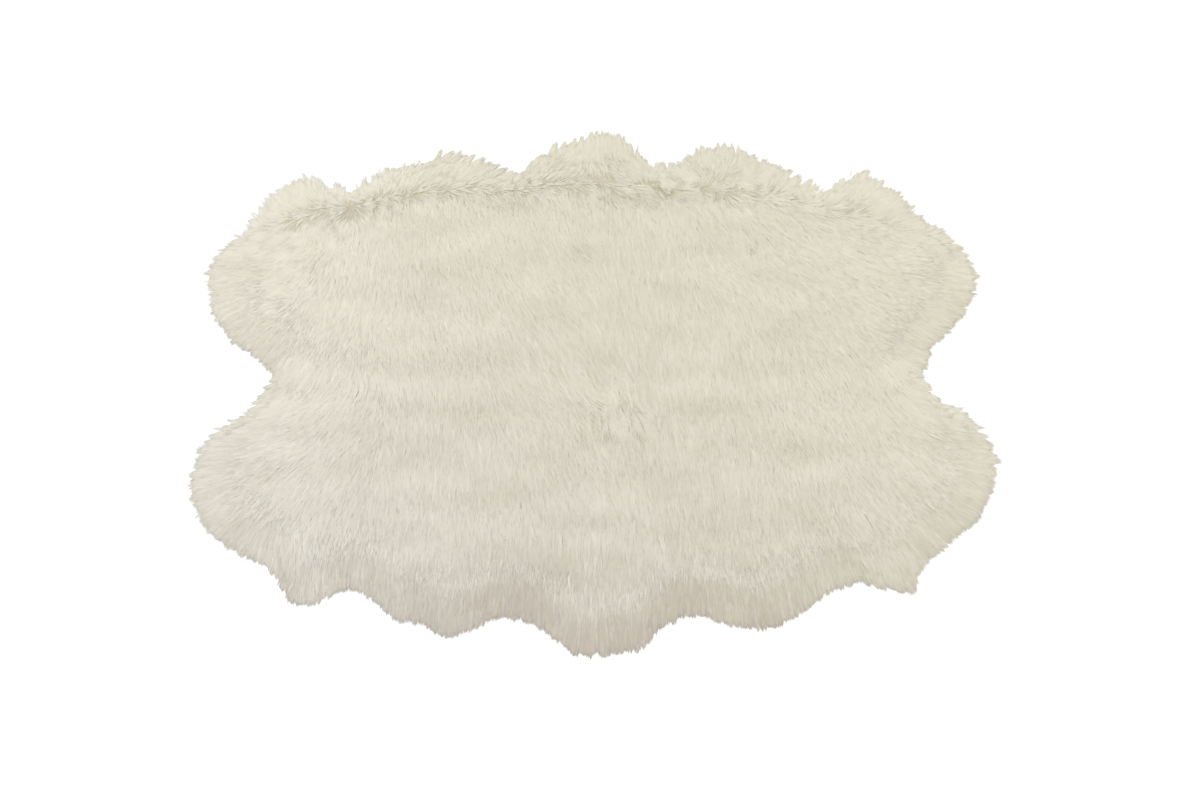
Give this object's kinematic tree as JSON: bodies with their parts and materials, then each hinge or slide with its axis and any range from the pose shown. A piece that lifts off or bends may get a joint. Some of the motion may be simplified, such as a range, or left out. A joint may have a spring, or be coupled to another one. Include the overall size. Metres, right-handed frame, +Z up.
{
  "type": "sheepskin rug",
  "caption": "Long-pile ivory sheepskin rug with a scalloped outline, pelts sewn two by two, lying flat with its wool side up.",
  "frame": {"origin": "on the floor under the middle of the rug's outline", "axes": "+X along the rug's long side to the right, +Y to the far side, away from the way the wool leans, +Z up"},
  "size_m": [1.8283, 1.2809, 0.0434],
  "materials": {
    "fleece": "ivory long-pile wool, soft and slightly glossy along the locks",
    "suede": "plain pale suede underside"
  },
  "bodies": {
    "root": {"pelt_far_left": "fleece", "pelt_far_right": "fleece", "pelt_near_left": "fleece", "pelt_near_right": "fleece"}
  },
  "joints": []
}
